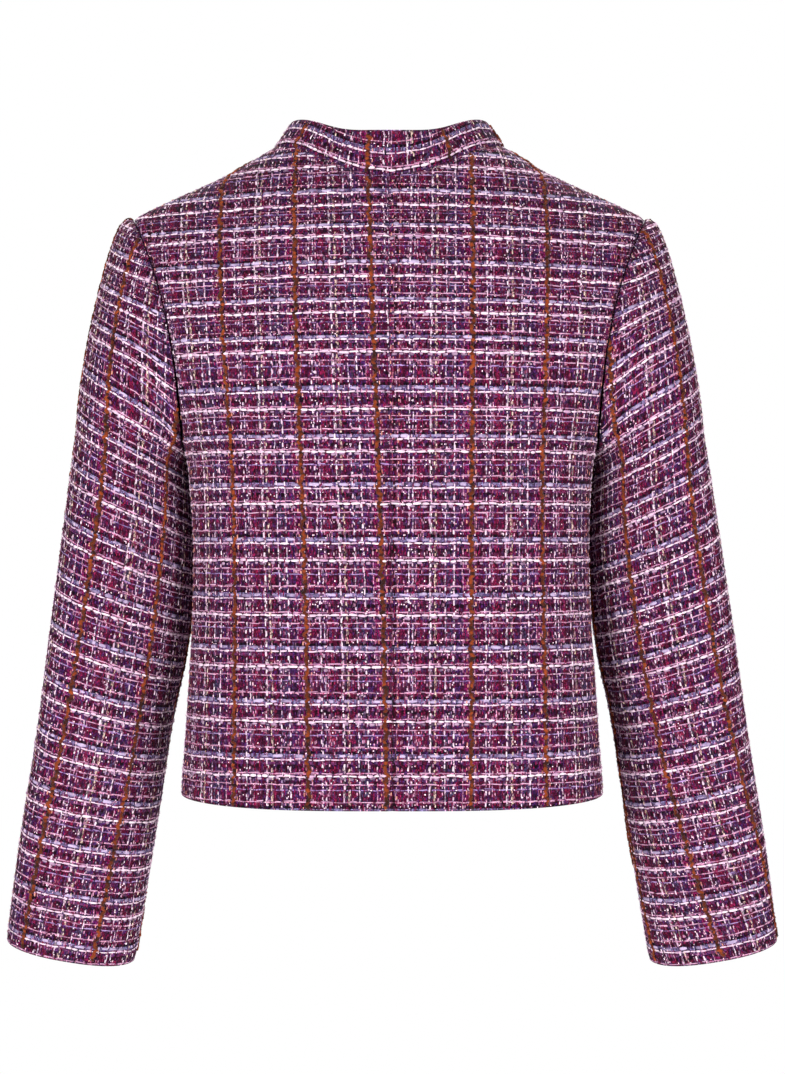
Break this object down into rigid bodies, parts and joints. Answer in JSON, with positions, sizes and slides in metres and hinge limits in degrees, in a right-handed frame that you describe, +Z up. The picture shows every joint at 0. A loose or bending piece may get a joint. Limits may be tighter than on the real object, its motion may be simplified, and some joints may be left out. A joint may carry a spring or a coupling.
{
  "type": "tweed jacket",
  "caption": "Cropped boxy tweed jacket with a stand collar and long set-in sleeves, open at the front edge, in its worn hollow form.",
  "frame": {"origin": "on the centre line, level with the points where the shoulder seams meet the neck, where the wearer's shoulders carry it", "axes": "+X to the wearer's left, -Y to the front, +Z up"},
  "size_m": [0.628, 0.2355, 0.6767],
  "materials": {
    "tweed": "matt multi-colour boucle weave"
  },
  "bodies": {
    "root": {"back_left": "tweed", "back_right": "tweed", "front_left": "tweed", "front_right": "tweed", "collar": "tweed", "sleeve_left": "tweed", "sleeve_right": "tweed"}
  },
  "joints": []
}
